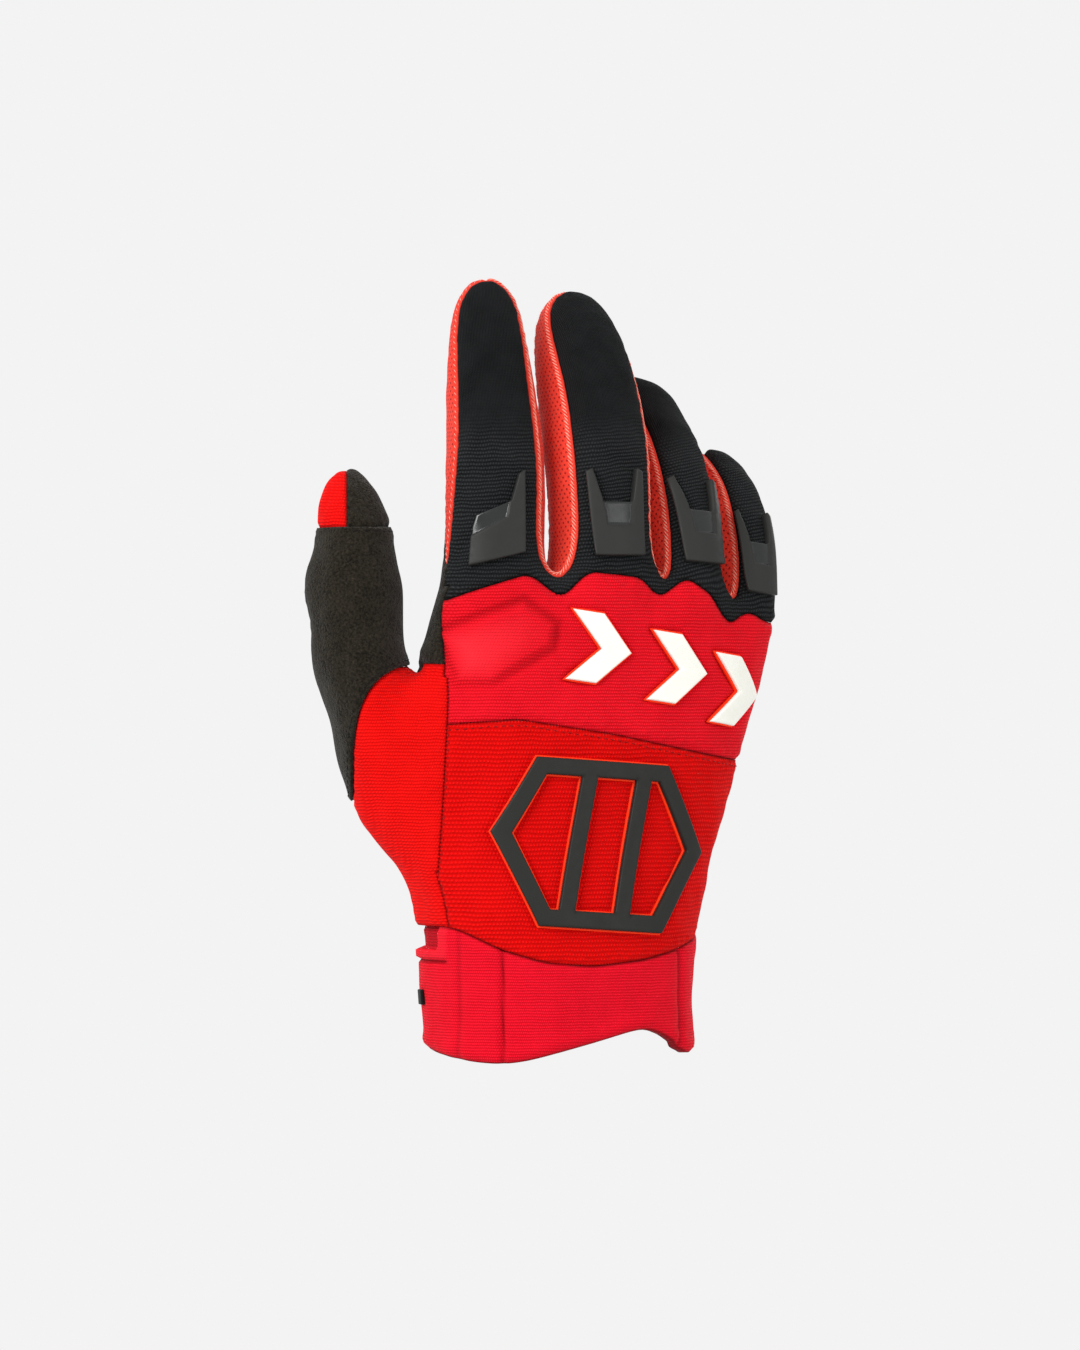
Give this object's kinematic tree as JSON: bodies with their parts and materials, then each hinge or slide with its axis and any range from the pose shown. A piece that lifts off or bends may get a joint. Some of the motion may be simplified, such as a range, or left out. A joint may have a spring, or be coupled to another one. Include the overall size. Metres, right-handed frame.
{
  "type": "motocross glove",
  "caption": "Right-hand motocross glove in red and black knit with a suede palm, rubber knuckle guards, a raised badge and a slip-on neoprene cuff, shown as worn",
  "frame": {"origin": "middle of the wrist opening", "axes": "+Z to the fingertips, -Y out of the back of the hand, -X to the thumb's side"},
  "size_m": [0.1474, 0.0688, 0.2351],
  "materials": {
    "black_knit": "fine black knit, matt",
    "red_mesh": "perforated stretch mesh",
    "black_suede": "napped synthetic suede",
    "crimson_knit": "fine ribbed knit",
    "scarlet_knit": "knit with crosswise ribs",
    "cuff_jersey": "jersey face on neoprene",
    "guard_rubber": "moulded, satin with gloss insets",
    "white_rubber": "moulded, satin",
    "badge_rubber": "moulded, satin"
  },
  "bodies": {
    "root": {"finger_backs": "black_knit", "fourchette_index_middle": "red_mesh", "fourchette_middle_ring": "red_mesh", "fourchette_ring_little": "red_mesh", "side_strip_index": "red_mesh", "side_strip_little": "red_mesh", "palm": "black_suede", "knuckle_panel": "crimson_knit", "hand_back": "scarlet_knit", "thumb_gusset": "scarlet_knit", "thumb_back": "scarlet_knit", "thumb_front": "black_suede", "thumb_wrap": "black_suede", "cuff": "cuff_jersey", "guard_index": "guard_rubber", "guard_middle": "guard_rubber", "guard_ring": "guard_rubber", "guard_little": "guard_rubber", "knuckle_bar_1": "white_rubber", "knuckle_bar_2": "white_rubber", "knuckle_bar_3": "white_rubber", "back_badge": "badge_rubber", "pull_tab": "black_knit"}
  },
  "joints": []
}
